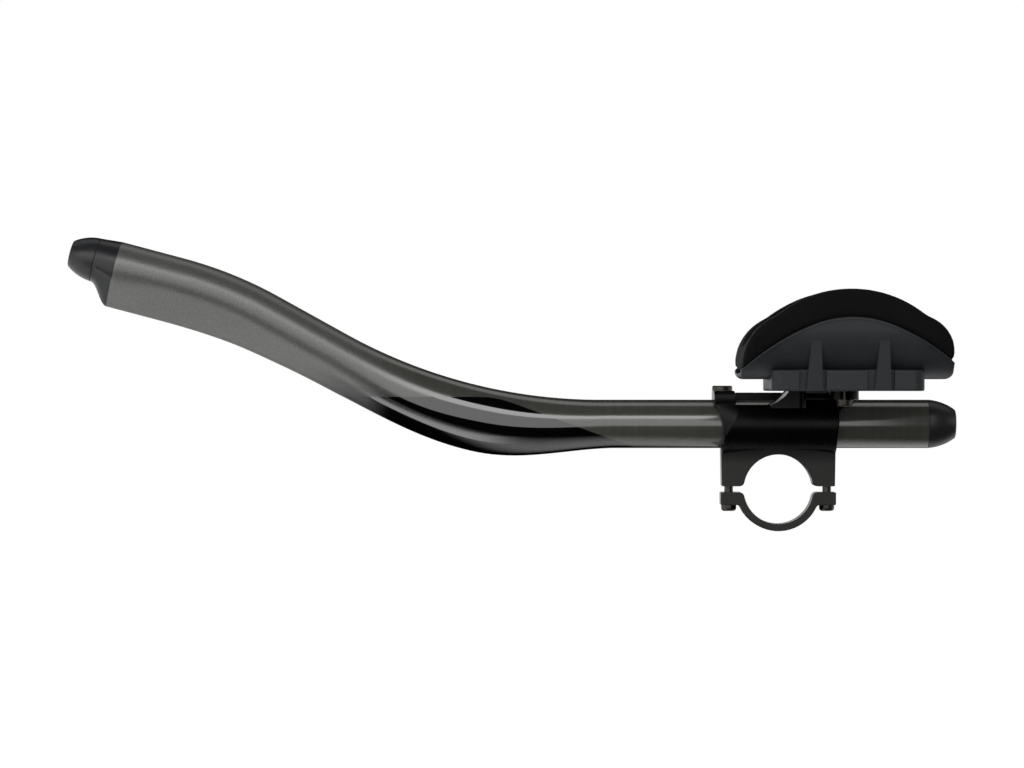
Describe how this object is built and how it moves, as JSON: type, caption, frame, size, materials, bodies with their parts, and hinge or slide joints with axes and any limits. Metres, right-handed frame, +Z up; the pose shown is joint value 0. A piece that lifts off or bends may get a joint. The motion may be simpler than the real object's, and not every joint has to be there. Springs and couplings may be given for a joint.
{
  "type": "aero handlebar extension",
  "caption": "Clip-on aero bar unit: an S-bent carbon extension in a bracket that clamps on a round handlebar, with a padded forearm cup beside it.",
  "frame": {"origin": "axis of the handlebar, in the middle of the clamp's width", "axes": "+X back towards the rider, along the extension; +Y along the handlebar towards the middle of the bicycle; +Z up"},
  "size_m": [0.4073, 0.1141, 0.1346],
  "materials": {
    "carbon": "clear-coated carbon fibre, matt at the grip and gloss black in the dip",
    "end_moulding": "satin moulded plastic",
    "bracket_alloy": "black anodised forging",
    "bolt_steel": "blackened steel",
    "cup_plastic": "fine-grained moulded plastic",
    "pad_foam": "soft foam with a brushed textile face",
    "hook_and_loop": "hook-and-loop tape",
    "insert_brass": "turned brass"
  },
  "bodies": {
    "root": {"extension_tube": "carbon", "front_collar": "end_moulding", "front_end_plug": "end_moulding", "rear_end_plug": "end_moulding", "bracket_body": "bracket_alloy", "clamp_cap": "bracket_alloy", "clamp_cap_bolt": "bolt_steel", "handlebar_strap": "bracket_alloy", "strap_bolt_front": "bolt_steel", "strap_bolt_rear": "bolt_steel", "armrest_cup": "cup_plastic", "armrest_pad": "pad_foam", "pad_strip_front": "hook_and_loop", "pad_strip_rear": "hook_and_loop", "armrest_bolt_front": "bolt_steel", "armrest_bolt_rear": "bolt_steel", "armrest_washer_front": "bolt_steel", "armrest_washer_rear": "bolt_steel", "armrest_insert_1": "insert_brass", "armrest_insert_2": "insert_brass", "armrest_insert_3": "insert_brass", "armrest_insert_4": "insert_brass", "armrest_insert_5": "insert_brass", "armrest_insert_6": "insert_brass"}
  },
  "joints": []
}
